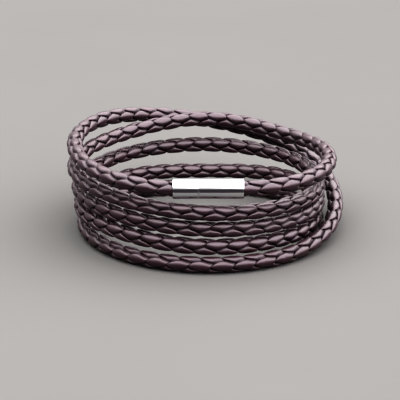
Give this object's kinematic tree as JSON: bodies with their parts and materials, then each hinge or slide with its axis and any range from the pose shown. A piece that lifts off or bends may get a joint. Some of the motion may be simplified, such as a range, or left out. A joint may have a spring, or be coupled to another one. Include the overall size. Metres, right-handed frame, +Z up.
{
  "type": "braided leather wrap bracelet",
  "caption": "Wrap bracelet of one long round cord plaited from dark brown leather laces, its ends joined by a polished steel barrel clasp, lying loosely coiled.",
  "frame": {"origin": "on the surface it lies on, under the middle of the coil's box", "axes": "+Z up through the open middle of the coil, -Y towards the clasp, +X towards the clasp's longer half"},
  "size_m": [0.0754, 0.0774, 0.0263],
  "materials": {
    "leather": "satin, finely grained laces",
    "steel": "mirror-polished stainless steel"
  },
  "bodies": {
    "root": {"braided_cord": "leather", "clasp_socket": "steel", "clasp_plug": "steel"}
  },
  "joints": []
}
